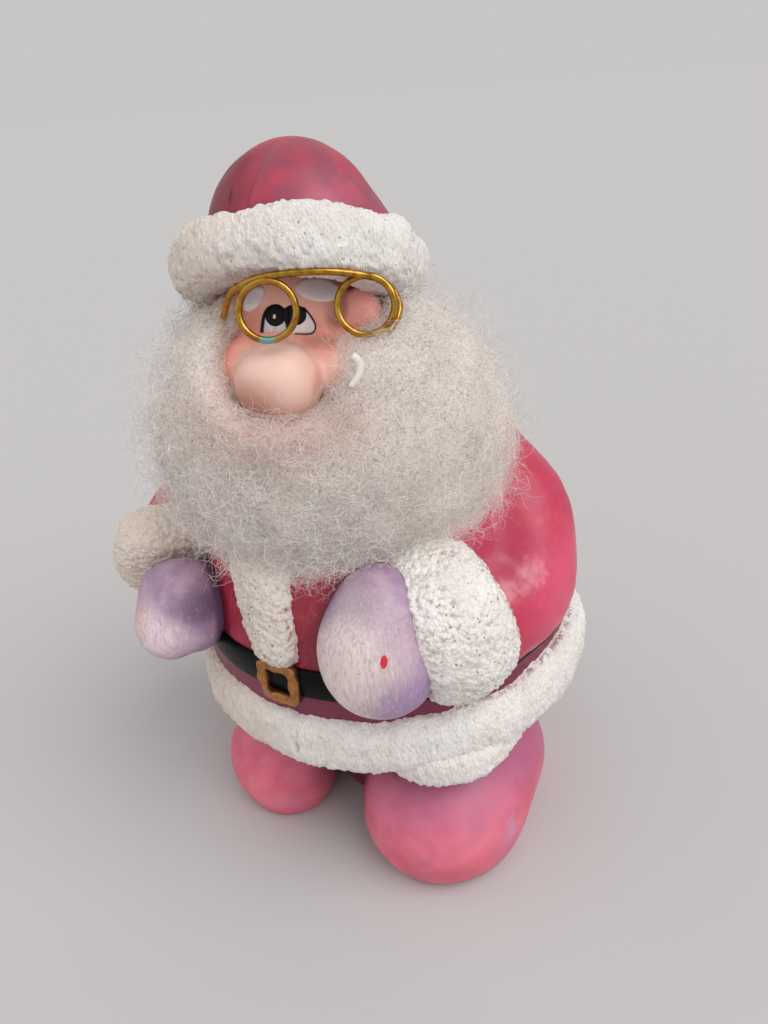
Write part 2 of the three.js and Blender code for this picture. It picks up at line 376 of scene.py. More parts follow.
def grains(points, size, seed=0):
    """Distance to the nearest of many scattered points, in units of their spacing."""
    scaled = points / size
    cells = np.floor(scaled).astype(np.int64)
    nearest = FAR
    for step in np.ndindex(3, 3, 3):
        cell = cells + step - 1
        jitter = joined(*(hashed(cell, seed + axis) for axis in range(3)))
        nearest = np.minimum(nearest, length(cell + jitter - scaled))
    return nearest


# Surfaces of fields

# Side of a block of the grid, in steps
BLOCK = 4


def gradient(field, points, reach=0.08):
    parts = []
    for axis in range(3):
        offset = np.zeros(3)
        offset[axis] = reach
        parts.append(field(points + offset) - field(points - offset))
    return joined(*parts) / (2 * reach)


def normals_of(field, points):
    return unit(gradient(field, points))


def sample_field(field, low, high, step):
    """The field on a grid, worked out in full only near its surface."""
    blocks = np.ceil((np.array(high) - low) / (BLOCK * step)).astype(int) + 1
    centres = (joined(*np.indices(blocks)) * BLOCK + (BLOCK - 1) / 2) * step + low
    rough = field(centres)
    values = np.kron(rough, np.ones((BLOCK,) * 3))
    near = np.argwhere(np.abs(rough) < BLOCK * step * 1.5)
    inner = np.array(list(np.ndindex((BLOCK,) * 3)))
    nodes = (near[:, None, :] * BLOCK + inner).reshape(-1, 3)
    values[tuple(nodes.T)] = field(nodes * step + low)
    return values


def net(values):
    """Vertices in grid units and quads where the values change sign."""
    inside = values < 0
    shape = np.array(values.shape) - 1
    count = np.zeros(shape, np.int8)
    for corner in np.ndindex(2, 2, 2):
        count += inside[tuple(slice(c, n + c) for c, n in zip(corner, shape))]
    active = (count > 0) & (count < 8)
    cells = np.argwhere(active)
    number = np.full(shape, -1)
    number[active] = np.arange(len(cells))
    total, weight, quads = 0, 0, []
    for axis in range(3):
        others = [other for other in range(3) if other != axis]
        along = np.eye(3, dtype=int)[axis]
        for corner in np.ndindex(2, 2):
            offset = np.zeros(3, int)
            offset[others] = corner
            start, end = (values[tuple((cells + place).T)] for place in (offset, offset + along))
            crosses = (start < 0) != (end < 0)
            share = np.where(crosses, start / np.where(crosses, start - end, 1), 0)
            total = total + crosses[:, None] * (offset + share[:, None] * along)
            weight = weight + crosses[:, None]
        low, high = [slice(1, -1)] * 3, [slice(1, -1)] * 3
        low[axis], high[axis] = slice(0, -1), slice(1, None)
        edges = np.argwhere(inside[tuple(low)] != inside[tuple(high)])
        edges[:, others] += 1
        ring = []
        for shift in ((-1, -1), (0, -1), (0, 0), (-1, 0)):
            cell = edges.copy()
            cell[:, others] += shift
            ring.append(number[tuple(cell.T)])
        quad = joined(*ring)
        flips = inside[tuple(edges.T)] == (axis == 1)
        quad[flips] = quad[flips][:, ::-1]
        quads.append(quad)
    return cells + total / weight, np.vstack(quads)


def relax(vertices, quads, field, rounds=3):
    """Evens out the quads and puts every vertex back on the surface."""
    edges = np.vstack([quads[:, [i, (i + 1) % 4]] for i in range(4)])
    count = np.bincount(edges[:, 0], minlength=len(vertices))[:, None]
    for _ in range(rounds):
        sums = (np.bincount(edges[:, 0], ends, len(vertices)) for ends in vertices[edges[:, 1]].T)
        vertices = vertices + 0.6 * (joined(*sums) / count - vertices)
        slope = gradient(field, vertices)
        steep = np.maximum(np.sum(slope**2, axis=-1, keepdims=True), 0.05)
        vertices = vertices - field(vertices)[:, None] * slope / steep
    return vertices


def surface(field, low, high, step):
    vertices, quads = net(sample_field(field, low, high, step))
    return relax(vertices * step + low, quads, field), quads


# Objects


def add_object(name, data):
    added = bpy.data.objects.new(name, data)
    bpy.context.scene.collection.objects.link(added)
    return added


def make_object(name, vertices, faces, material, slot="ceramic", node="figure", **values):
    """A mesh piece that stands for a node, with named values for each vertex."""
    mesh = bpy.data.meshes.new(name)
    vertices = np.asarray(vertices, np.float32) * METRES
    faces = np.asarray(faces, np.int32)
    mesh.vertices.add(len(vertices))
    mesh.vertices.foreach_set("co", vertices.ravel())
    mesh.loops.add(faces.size)
    mesh.loops.foreach_set("vertex_index", faces.ravel())
    mesh.polygons.add(len(faces))
    mesh.polygons.foreach_set("loop_start", np.arange(0, faces.size, faces.shape[1], dtype=np.int32))
    mesh.update(calc_edges=True)
    mesh.validate()
    mesh.polygons.foreach_set("use_smooth", np.full(len(mesh.polygons), True))
    for label, numbers in values.items():
        attribute = mesh.attributes.new(label, "FLOAT", "POINT")
        attribute.data.foreach_set("value", np.asarray(numbers, np.float32))
    mesh.materials.append(material)
    piece = add_object(name, mesh)
    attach(piece, "root")
    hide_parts(node)
    return piece


def sheet_faces(rows, columns, closed_rows=False, closed_columns=False):
    """Quads of a grid of vertices, which may close on itself."""
    down = np.arange(rows if closed_rows else rows - 1)
    across = np.arange(columns if closed_columns else columns - 1)
    row, column = (grid.ravel() for grid in np.meshgrid(down, across, indexing="ij"))
    corners = [(row, column), (row, column + 1), (row + 1, column + 1), (row + 1, column)]
    return joined(*(one % rows * columns + other % columns for one, other in corners))


def welded(vertices, faces):
    """Triangles with coincident vertices joined, and which vertices are kept."""
    _, kept, number = np.unique(np.round(vertices, 5), axis=0, return_index=True, return_inverse=True)
    triangles = number.ravel()[np.vstack([faces[:, [0, 1, 2]], faces[:, [0, 2, 3]]])]
    whole = np.all(triangles != np.roll(triangles, 1, axis=1), axis=1)
    return vertices[kept], triangles[whole], kept


def merged(meshes):
    vertices, faces, start = [], [], 0
    for points, corners in meshes:
        vertices.append(points)
        faces.append(corners + start)
        start += len(points)
    return np.vstack(vertices), np.vstack(faces)


def sweep(path, radii, sides, closed=False):
    """A tube along a path, closed on itself or pointed."""
    path = np.asarray(path, float)
    tangent = np.roll(path, -1, axis=0) - np.roll(path, 1, axis=0)
    if not closed:
        tangent[0], tangent[-1] = path[1] - path[0], path[-1] - path[-2]
    tangent = unit(tangent)
    across = np.cross(tangent[0], (0.3, 0.2, 1.0))
    angles = full_turn(sides)
    rows = []
    for place, along, radius in zip(path, tangent, np.broadcast_to(radii, len(path))):
        across = direction(across - along * (across @ along))
        upward = np.cross(along, across)
        ring = np.outer(np.cos(angles), across) + np.outer(np.sin(angles), upward)
        rows.append(place + radius * ring)
    if not closed:
        rows = [np.repeat(path[:1], sides, 0), *rows, np.repeat(path[-1:], sides, 0)]
    return welded(np.vstack(rows), sheet_faces(len(rows), sides, closed, True))[:2]


# Materials


def rgb(red, green, blue):
    """A colour as it is seen, from 0 to 255, in linear values."""
    parts = np.array((red, green, blue)) / 255
    linear = np.where(parts < 0.04045, parts / 12.92, ((parts + 0.055) / 1.055) ** 2.4)
    return tuple(float(part) for part in linear)


def radians(turn):
    return tuple(math.radians(angle) for angle in turn)


class Paint:
    """A material whose colour comes from the place on the object, in millimetres."""

    def __init__(self, name, metallic=0.0, shine=0.5):
        self.material = bpy.data.materials.new(name)
        self.material.use_nodes = True
        self.nodes = self.material.node_tree.nodes
        self.links = self.material.node_tree.links
        self.shader = self.nodes["Principled BSDF"].inputs
        self.shader["Metallic"].default_value = metallic
        self.shader["Specular IOR Level"].default_value = shine
        place = self.add("TexCoord", {}, "Object")
        self.place = self.add("VectorMath", {0: place, "Scale": 1 / METRES}, operation="SCALE")

    def plug(self, value, socket):
        if hasattr(value, "is_output"):
            self.links.new(value, socket)
        elif isinstance(value, tuple) and len(socket.default_value) == 4:
            socket.default_value = (*value, 1)
        else:
            socket.default_value = value

    def add(self, kind, inputs, output=0, **settings):
        """A new node's output. Inputs are values or other nodes' outputs."""
        node = self.nodes.new("ShaderNode" + kind)
        for name, setting in settings.items():
            setattr(node, name, setting)
        for name, value in inputs.items():
            self.plug(value, node.inputs[name])
        return node.outputs[output]

    def math(self, operation, first, second=0.0, clamp=False):
        return self.add("Math", {0: first, 1: second}, operation=operation, use_clamp=clamp)

    def rise(self, value, by, start):
        """A value times one number plus another."""
        return self.math("ADD", self.math("MULTIPLY", value, by), start)

    def value(self, name):
        return self.add("Attribute", {}, "Fac", attribute_name=name)

    def coordinate(self, axis):
        return self.add("SeparateXYZ", {0: self.place}, axis)

    def stretched(self, stretch, turn=(0, 0, 0)):
        return self.add("Mapping", {"Vector": self.place, "Rotation": radians(turn), "Scale": stretch})

    def noise(self, size, detail=3.0, rough=0.55, warp=0.0, w=0.0, place=None):
        inputs = {
            "Vector": place or self.place, "W": w, "Scale": 1 / size, "Detail": detail,
            "Roughness": rough, "Distortion": warp,
        }
        return self.add("TexNoise", inputs, "Fac", noise_dimensions="4D")

    def grains(self, size, place=None):
        return self.add("TexVoronoi", {"Vector": place or self.place, "Scale": 1 / size}, "Distance")

    def band(self, value, low, high):
        """From 0 at low to 1 at high, smoothly. Low may be the greater."""
        inputs = {"Value": value, "From Min": low, "From Max": high}
        return self.add("MapRange", inputs, "Result", interpolation_type="SMOOTHSTEP")

    def spot(self, at, size, soft, ragged, turn=(0, 0, 0)):
        """From 1 inside an ellipsoid to 0 outside, with a soft and ragged edge."""
        shift = self.add("VectorMath", {0: self.place, 1: at}, operation="SUBTRACT")
        inputs = {"Vector": shift, "Rotation": radians(turn), "Scale": size}
        local = self.add("Mapping", inputs, vector_type="TEXTURE")
        distance = self.add("VectorMath", {0: local}, "Value", operation="LENGTH")
        if ragged:
            wander = self.math("SUBTRACT", self.noise(max(size) / 2, 4), 0.5)
            distance = self.math("ADD", distance, self.math("MULTIPLY", wander, ragged))
        return self.band(distance, 1 + soft / 2, 1 - soft / 2)

    def mix(self, factor, first, second):
        return self.add("Mix", {"Factor": factor, "A": first, "B": second}, "Result", data_type="RGBA")

    def mottle(self, grain, first, second, low=0.35, high=0.65, place=None):
        """Starts with one colour that turns into another over a band of a noise."""
        cloudy = self.band(self.noise(*grain, place=place), low, high)
        self.colour = self.mix(cloudy, rgb(*first), rgb(*second))
        return cloudy

    def over(self, factor, share, tint):
        """Lays a colour over what is there, by a factor times a share."""
        self.colour = self.mix(self.math("MULTIPLY", factor, share), self.colour, rgb(*tint))

    def wash(self, value, low, high, share, tint):
        self.over(self.band(value, low, high), share, tint)

    def mark(self, at, size, soft, ragged, share, tint, turn=(0, 0, 0)):
        self.over(self.spot(at, size, soft, ragged, turn), share, tint)

    def finish(self, roughness, height=None, depth=0.0, strength=1.0):
        self.plug(self.colour, self.shader["Base Color"])
        self.plug(roughness, self.shader["Roughness"])
        if height is not None:
            inputs = {"Distance": depth * METRES, "Strength": strength, "Height": height}
            self.plug(self.add("Bump", inputs), self.shader["Normal"])
        return self.material


# Camera, floor and lights

FLOOR_COLOUR = rgb(190, 188, 188)
FLOOR_RADIUS = 20000
FLOOR_STEPS = 64
SKY_COLOUR = rgb(200, 198, 198)
SUNS = [("key", (0.62, -0.12, 0.76), 1.8, 50), ("fill", (-0.45, -0.6, 0.55), 0.52, 90)]


def place_camera():
    data = bpy.data.cameras.new("camera")
    data.sensor_width = SENSOR
    data.lens = CAMERA["focal"] / PICTURE_HEIGHT * SENSOR
    data.clip_start, data.clip_end = CLIP
    turned = spin(CAMERA["turn"], "Z")
    at = turned @ Vector((0, -CAMERA["out"], CAMERA["height"])) * METRES
    axes = turned @ spin(90 - CAMERA["down"], "X") @ spin(-CAMERA["roll"], "Z")
    camera = add_object("camera", data)
    camera.matrix_world = Matrix.LocRotScale(at, axes, None)
    bpy.context.scene.camera = camera


def make_floor():
    angles = full_turn(FLOOR_STEPS)
    outline = joined(FLOOR_RADIUS * np.cos(angles), FLOOR_RADIUS * np.sin(angles), 0 * angles)
    mesh = bpy.data.meshes.new("floor")
    mesh.from_pydata((outline * METRES).tolist(), [], [list(range(FLOOR_STEPS))])
    paint = Paint("floor")
    paint.colour = FLOOR_COLOUR
    mesh.materials.append(paint.finish(0.8))
    add_object("floor", mesh)


def make_sun(name, towards, strength, spread):
    """A soft far light that shines from a direction."""
    data = bpy.data.lights.new(name, "SUN")
    data.energy = strength
    data.angle = math.radians(spread)
    light = add_object(name, data)
    light.rotation_mode = "QUATERNION"
    light.rotation_quaternion = Vector(towards).to_track_quat("Z", "Y")


def make_studio():
    scene = bpy.context.scene
    scene.view_settings.view_transform = "Standard"
    world = bpy.data.worlds.new("studio")
    world.use_nodes = True
    world.node_tree.nodes["Background"].inputs["Color"].default_value = (*SKY_COLOUR, 1)
    scene.world = world
    for sun in SUNS:
        make_sun(*sun)


place_camera()
make_floor()
make_studio()


# Painted casting. A mark is a place, a size, how soft and how ragged its edge is, a share and
# a colour. A wash is a value, the band over which it comes in, a share and a colour.

RASPBERRY = (194, 52, 82)
DEEP_RED = (142, 20, 46)
CRIMSON = (104, 16, 38)
MAGENTA = (120, 36, 66)
# Worn paint on the left sleeve that also serves as its painted highlight
WEAR_AND_HIGHLIGHT = (236, 168, 176)


def jacket_paint():
    """Painted shade deeper in front, worn paint with a painted highlight on the left sleeve, magenta
    under the belt.
    """
    paint = Paint("jacket_paint")
    cloudy = paint.mottle((8, 4, 0.6, 0.4), RASPBERRY, (186, 44, 78), 0.38, 0.62)
    # Painted shade: deeper red over the front, under the beard and between the arms
    paint.mark((2, -36, 58), (24, 14, 16), 0.8, 0, 0.85, DEEP_RED)
    streak = paint.noise(1.0, 3, 0.6, 0.4, place=paint.stretched((1, 1, 0.3)))
    paint.wash(streak, 0.5, 0.75, 0.3, (216, 92, 118))
    # Painted highlight on the outer side of the left elbow, towards the key light
    paint.mark((38, -9, 53), (7, 9, 12), 1.0, 0.8, 0.7, (222, 88, 118))
    # Painted shade between the placket and the left mitten
    paint.mark((6, -38, 52), (6.5, 7, 10), 1.1, 0.3, 0.5, (92, 12, 34))
    paint.wash(paint.noise(4, 4, 0.55, 0.4, 6.0), 0.54, 0.72, 0.3, (150, 44, 74))
    paint.mark((28.5, -17, 63.5), (7, 6, 5), 1.2, 1.2, 0.4, (156, 46, 80))
    paint.wash(paint.noise(3.2, 4, 0.6, 0.5, 8.0), 0.52, 0.68, 0.35, (216, 84, 84))
    # Worn paint and a painted highlight on the top of the left sleeve
    paint.mark((34.4, -16.8, 62.4), (2.2, 3.6, 2.8), 1.2, 2.2, 0.55, WEAR_AND_HIGHLIGHT)
    paint.mark((31, -20.4, 60.2), (3.2, 2.6, 1.6), 1.2, 2.2, 0.35, WEAR_AND_HIGHLIGHT)
    paint.wash(paint.coordinate("Z"), 46, 43.5, 1, MAGENTA)
    # Painted shade in recesses
    paint.wash(paint.value("hollow"), 0.25, 0.95, 0.85, CRIMSON)
    return paint.finish(paint.rise(cloudy, 0.12, 0.34), paint.noise(0.7, 4), 0.05, 0.6)


def boots_paint():
    """Mauve towards the top of the left boot, painted shade between the two."""
    paint = Paint("boots_paint")
    cloudy = paint.mottle((10, 3, 0.55, 0.5), (212, 90, 112), (230, 120, 138))
    paint.wash(paint.noise(9, 4, 0.55, 0.6, 3.0), 0.45, 0.68, 0.35, (166, 92, 130))
    left_share = paint.rise(paint.band(paint.coordinate("X"), -6, 8), 0.65, 0.05)
    paint.wash(paint.coordinate("Z"), 9, 23, left_share, (160, 92, 130))
    paint.wash(paint.noise(4, 4, 0.6, 0.6, 7.0), 0.54, 0.74, 0.35, (158, 118, 156))
    # Painted shade between the boots
    paint.mark((0, -16, 10), (6.5, 18, 16), 0.9, 0.3, 0.9, (84, 14, 30))
    paint.mark((33.4, -23.5, 11.5), (1.2, 1.8, 3.0), 1.0, 2.4, 0.4, (186, 156, 184))
    # Painted shade in recesses
    paint.wash(paint.value("hollow"), 0.3, 1.0, 0.9, (92, 16, 34))
    return paint.finish(paint.rise(cloudy, 0.15, 0.42), paint.noise(1.1, 4), 0.06, 0.6)


def hat_paint():
    """Orange on top and pink in front, with a dark scratch and a pale fleck last."""
    paint = Paint("hat_paint")
    cloudy = paint.mottle((4.5, 4, 0.6, 0.4), (162, 46, 70), (176, 60, 82))
    paint.mark((-3, -12, 127.5), (9, 8, 4.5), 1.0, 0.8, 0.45, (192, 74, 78))
    paint.mark((5, -15, 117), (4, 6, 6), 1.2, 0.8, 0.6, (178, 88, 112))
    paint.wash(paint.noise(4.5, 3, 0.55, 0.2, 5.0), 0.38, 0.64, 0.6, (126, 62, 82))
    # Painted shade on the left of the fold, on the side away from the light
    paint.mark((-12.5, -18, 119), (6.2, 7, 9), 0.5, 0.4, 0.75, (112, 28, 48))
    paint.mark((-9.2, -20.9, 119.7), (0.25, 1.2, 1.2), 0.8, 0.8, 0.8, (60, 20, 30))
    paint.mark((3.4, -16.3, 122.2), (0.16, 0.6, 1.3), 0.5, 0.5, 1, (236, 206, 206))
    # Painted shade in recesses
    paint.wash(paint.value("hollow"), 0.35, 1.0, 0.6, (112, 28, 52))
    return paint.finish(paint.rise(cloudy, 0.15, 0.38), paint.noise(0.8, 4), 0.05, 0.6)


def mitten_paint(name, patches):
    """Lilac wash over white. Each patch is a place, a size, a share and a colour."""
    paint = Paint(name)
    paint.mottle((4, 4), (154, 126, 156), (184, 154, 174))
    for at, size, share, tint in patches:
        paint.mark(at, size, 1.4, 0.6, share, tint)
    streak = paint.noise(0.42, 4, 0.65, 0.3, place=paint.stretched((1, 1, 0.14)))
    grain = paint.rise(paint.spot(*patches[0][:2], 0.9, 0.5), 0.3, 0.12)
    paint.wash(streak, 0.48, 0.64, grain, (150, 122, 122))
    paint.wash(streak, 0.47, 0.33, grain, (240, 232, 230))
    # Painted shade in recesses
    paint.wash(paint.value("hollow"), 0.3, 1.0, 0.8, (96, 66, 108))
    paint.wash(paint.grains(2.0), 0.08, 0.05, 0.6, (96, 80, 92))
    paint.mark((19.6, -40.9, 59.1), (0.5, 0.8, 1.05), 0.2, 0.5, 1, (206, 40, 52))
    return paint.finish(0.5, streak, 0.06, 0.7)


LEFT_PATCHES = [
    ((13, -42, 55.5), (8.6, 8, 12), 0.95, (228, 213, 208)),
    ((11.6, -40, 60), (3.6, 6, 4), 0.5, (214, 198, 200)),
    ((8.4, -40, 47.8), (3, 4, 4), 0.5, (182, 158, 146)),
    ((6.8, -36, 63.5), (3.6, 5, 3.8), 0.8, (126, 96, 142)),
    ((22.6, -37, 49.5), (6.4, 8, 6.4), 0.75, (156, 124, 172)),
    ((13.6, -37, 65.5), (4, 5, 2.6), 0.5, (156, 138, 150)),
]
RIGHT_PATCHES = [
    ((-26, -39.4, 50.6), (5.6, 5, 4.6), 0.95, (232, 208, 218)),
    ((-28.4, -38.5, 53.0), (1.8, 3, 2.2), 0.5, (214, 182, 150)),
    # Painted shade in the crease between the mitten's lobes
    ((-18, -35, 55.6), (5, 4, 2.6), 0.85, (84, 56, 92)),
]
FACE_MARKS = [
    (NOSE["at"], (6.9, 5.9, 6.4), 0.4, 0.15, 1, (228, 197, 183)),
    # The left ear's own pink, painted lighter as painted light against the shade of the brim
    ((9.9, -9, 3.6), (3.2, 4, 3.6), 0.5, 0.6, 0.95, (255, 174, 164)),
    # Painted shade in the recess between the face and the left ear
    ((6.3, -9.5, 3.4), (1.7, 5, 3.0), 0.8, 0.6, 0.8, (160, 96, 80)),
    ((4.2, -11, -1.3), (3.8, 3, 1.0), 1.5, 1.6, 0.55, (160, 96, 78)),
    # Painted light on the forehead, against the shade under the brim
    ((-0.5, -11, 5.5), (8.5, 4, 3.6), 0.9, 0.3, 0.9, (255, 196, 180)),
    # Painted shade on the lower left of the nose, away from the light
    ((-5, -15.8, -11.6), (4.4, 5, 4), 1.3, 0.4, 0.8, (176, 118, 102)),
    # Painted light on the left cheek beside the nose, towards the key light
    ((6.4, -12.6, -6), (3.6, 4, 3.6), 1.2, 0.4, 0.75, (246, 192, 178)),
    # Painted shade in the crease between the nose and the left cheek
    ((4.3, -14.6, -7.6), (0.6, 3, 2.4), 1.3, 0.8, 0.4, (190, 128, 110)),
    ((-5.6, -12, 1.5), (1.6, 3, 3.4), 1.0, 0.5, 0.4, (200, 104, 92)),
]


def face_paint():
    paint = Paint("face_paint")
    paint.mottle((3.2, 4, 0.6), (246, 174, 156), (234, 150, 134))
    # Painted shade in recesses of the face
    paint.wash(paint.value("hollow"), 0.4, 1.0, 0.3, (184, 98, 82))
    for at, *mark in FACE_MARKS:
        paint.mark(head_place(at), *mark, HEAD_TURN)
    return paint.finish(0.46, paint.noise(0.5, 4), 0.04, 0.6)


def cast(name, field, low, high, step, material, lumpy=1.0, reach=3.0):
    """A piece of the casting, with a value from 0 in the open to 1 deep in a recess, which the paints
    use for painted shade.
    """
    vertices, quads = surface(field, low, high, step)
    normals = normals_of(field, vertices)
    hollow = np.clip(1 - casting_field(vertices + normals * reach) / reach, 0, 1)
    lumps = (noise(vertices, 6, 3) * 0.12 + noise(vertices, 2.2, 4) * 0.04) * lumpy
    make_object(name, vertices + normals * lumps[:, None], quads, material, hollow=hollow)


cast("jacket", jacket_field, (-47, -40, 21), (42, 31, 95), 1.0, jacket_paint())
cast("boots", boots_field, (-33, -38, -1), (38, 22, 33), 1.3, boots_paint())
cast("hat", hat_field, (-26, -32, 96), (18, 8, 129), 0.6, hat_paint())
cast("left_mitten", mitten_field(LEFT_ARM), (4, -44, 42), (26, -23, 70), 0.6,
     mitten_paint("left_mitten_paint", LEFT_PATCHES))
cast("right_mitten", mitten_field(RIGHT_ARM), (-36, -42, 41), (-15, -22, 62), 0.45,
     mitten_paint("right_mitten_paint", RIGHT_PATCHES))
cast("head", head_field, (-24, -36, 80), (14, 4, 116), 0.5, face_paint(), 0, 2.0)


# Fur trim: rough white slip with real relief


def fur_paint(name, size, specked, gap_shade, stretch, turn=(0, 0, 0)):
    """White slip, more or less specked, with painted shade in its pits and between its crumbs,
    stretched along its strokes.
    """
    paint = Paint(name)
    place = paint.stretched(stretch, turn)
    paint.mottle((7,), (252, 248, 244), (242, 236, 230))
    # Painted shade in the pits of the relief
    paint.wash(paint.value("relief"), -0.3, -0.85, 0.6, (168, 148, 136))
    # Painted shade between the crumbs, stronger in patches
    crumb = paint.grains(size, place)
    patch = paint.band(paint.noise(6, w=4.0), 0.4, 0.62)
    share = paint.math("MULTIPLY", paint.rise(patch, 0.26, 0.14), gap_shade)
    paint.wash(crumb, 0.5, 0.85, share, (160, 142, 130))
    # Painted shade, darker and warmer towards the figure's right, away from the key light
    paint.wash(paint.coordinate("X"), 8, -20, 0.85, (232, 216, 202))
    # Painted shade low on the placket
    paint.mark((-6, -38, 53), (9, 8, 9), 0.8, 0.4, 0.5, (206, 190, 176))
    wander = paint.math("MULTIPLY", paint.noise(0.5, 2, w=6.0), 0.3)
    dotted = paint.band(paint.math("ADD", paint.grains(1.15), wander), 0.36, 0.26)
    chance = paint.band(paint.noise(1.8, 2, w=9.0), 0.42, 0.54)
    paint.over(paint.math("MULTIPLY", dotted, chance), specked, (116, 92, 76))
    rusty = paint.band(paint.noise(1.4, 4, w=2.0), 0.46, 0.56)
    paint.over(paint.math("MULTIPLY", paint.value("edge"), rusty), 0.85, (150, 88, 54))
    height = paint.math("SUBTRACT", paint.noise(size * 0.6, 4, 0.75, 0.2, place=place), crumb)
    return paint.finish(0.85, height, 0.3, 0.9)


CRUMBS = fur_paint("fur_crumbs", 0.62, 0.75, 1.3, (1, 1, 1))
BRISTLES = fur_paint("fur_bristles", 0.55, 0.25, 0.55, (1.3, 1.3, 0.5))
COMBED = fur_paint("fur_combed", 0.5, 0.6, 0.5, (1.4, 1.4, 0.45), (0, 28, 0))


def furred(points, normals, stretch, lumps, bumps=()):
    """The slip's relief in millimetres, and the places that it raises."""
    stretched = points * np.array(stretch)
    crumbs = 0.5 - np.minimum(grains(stretched, 0.95, 5), 1)
    rough = noise(stretched, 0.6, 6) * 0.3 + noise(stretched, 2.0, 7) * 0.25
    pits = np.clip(0.4 - grains(points, 1.7, 9), 0, 0.4) * 2
    relief = crumbs * 0.85 + rough - pits * 0.6
    swell = noise(points, 6.5, 11) * lumps
    for at, width, height in bumps:
        swell = swell + height * np.exp(-((length(points - head_place(at)) / width) ** 2))
    return relief, points + normals * (relief * 0.7 + swell)[:, None]


def angle_grid(around, tilts):
    """Each angle round a ring with each one of its section."""
    return [grid.ravel() for grid in np.meshgrid(full_turn(around), tilts, indexing="ij")]


def fur_ring(name, around, section, shape, material, stretch, lumps=0.5, bumps=()):
    """A ring of fur. Shape gives places, normals and stained edge for the angles."""
    points, normals, edge = shape(*angle_grid(around, full_turn(section)))
    relief, moved = furred(points, normals, stretch, lumps, bumps)
    quads = sheet_faces(around, section, True, True)[:, ::-1]
    make_object(name, moved, quads, material, relief=relief, edge=edge)


def fur_disc(name, around, section, shape):
    """Fur that closes to a point at both ends of its section."""
    quarter = math.pi / 2
    points, normals, edge = shape(*angle_grid(around, np.linspace(-quarter, quarter, section)))
    relief, moved = furred(points, normals, (1, 1, 1), 0.4)
    moved = moved.reshape(around, section, 3)
    for end in (0, -1):
        moved[:, end] = moved[:, end].mean(axis=0)
    vertices, triangles, kept = welded(moved.reshape(-1, 3), sheet_faces(around, section, True))
    make_object(name, vertices, triangles, CRUMBS, relief=relief[kept], edge=edge[kept])


def uneven(section, power=0.75):
    return np.sign(section) * np.abs(section) ** power


def about_axis(turn, radius, height):
    """Places at a radius and height, by the angle from the front to the left."""
    return joined(radius * np.sin(turn), -radius * np.cos(turn), height)


def ring_normals(turn, tilt):
    return about_axis(turn, np.cos(tilt), np.sin(tilt))


def ring_place(ring, turn, tilt):
    section = uneven(joined(np.cos(tilt), np.sin(tilt))) * ring["half"] + ring["at"]
    return about_axis(turn, *section.T)


def hem_shape(turn, tilt):
    points = ring_place(HEM, turn, tilt)
    points[:, 1] *= np.where(points[:, 1] > 0, BACK_DEPTH, 1)
    points[:, 2] += hem_rise(points[:, 0], points[:, 1])
    edge = np.clip(1.2 - np.abs(uneven(np.cos(tilt)) - 0.5) * 11, 0, 1) * (np.sin(tilt) > 0)
    return points, ring_normals(turn, tilt), edge


def brim_shape(turn, tilt):
    local = ring_place(BRIM, turn, tilt)
    local[:, 2] -= brim_drop(np.sin(turn), 1)
    return from_head(local), ring_normals(turn, tilt) @ HEAD_AXES.T, 0 * turn


def cuff_shape(cuff):
    along = direction(cuff["along"])
    across = direction(np.cross(along, (0, 0, 1.0)))
    upward = np.cross(across, along)

    def shape(turn, tilt):
        out, up = np.cos(tilt), np.sin(tilt)
        ring = np.cos(turn)[:, None] * across + np.sin(turn)[:, None] * upward
        radius = cuff["radius"] * uneven(np.maximum(out, 0), 0.5)
        points = cuff["at"] + radius[:, None] * ring + (cuff["half"] * up)[:, None] * along
        edge = np.clip((np.abs(up) - 0.82) * 9, 0, 1) * (out > 0.25) * cuff["stain"]
        return points, out[:, None] * ring + up[:, None] * along, edge

    return shape


def placket_shape(turn, tilt):
    """A tapered tube up the chest, sunk in the jacket. Tilt runs from foot to top."""
    share = tilt / math.pi + 0.5
    height = PLACKET["low"] + share * (PLACKET["high"] - PLACKET["low"])
    half = np.interp(share, (0, 0.2, 0.5, 1), PLACKET["half"])
    cap = 1.0
    for gap, end in ((0.09 - share, 0.09), (share - 0.94, 0.06)):
        cap = cap * np.sqrt(np.clip(1 - (np.clip(gap, 0, None) / end) ** 2, 0, 1))
    bearing = np.radians(np.interp(share, (0, 0.6, 1), PLACKET["bearing"]))
    wide = np.interp(height, JACKET_CURVE[:, 1], JACKET_CURVE[:, 0])
    out = about_axis(bearing, 1, 0 * bearing)
    aside = joined(np.cos(bearing), np.sin(bearing), 0 * bearing)
    centre = out * (wide - PLACKET["sunk"])[:, None]
    centre[:, 2] = height
    section = np.cos(turn)[:, None] * aside * (half * cap)[:, None]
    section = section + (uneven(np.sin(turn), 0.8) * PLACKET["proud"] * cap)[:, None] * out
    normals = np.cos(turn)[:, None] * aside + np.sin(turn)[:, None] * out
    edge = np.clip(1 - np.abs(np.sin(turn) - 0.3) * 4, 0, 1) * (share < 0.4)
    return centre + section, normals, edge


def boot_fur_shape(turn, tilt):
    out, up = (uneven(joined(np.cos(tilt), np.sin(tilt))) * BOOT_FUR["half"]).T
    wide, deep = (radius + out for radius in BOOT_FUR["radii"])
    offset = joined(wide * np.sin(turn), -deep * np.cos(turn), up)
    return offset + BOOT_FUR["at"], ring_normals(turn, tilt), 0 * turn


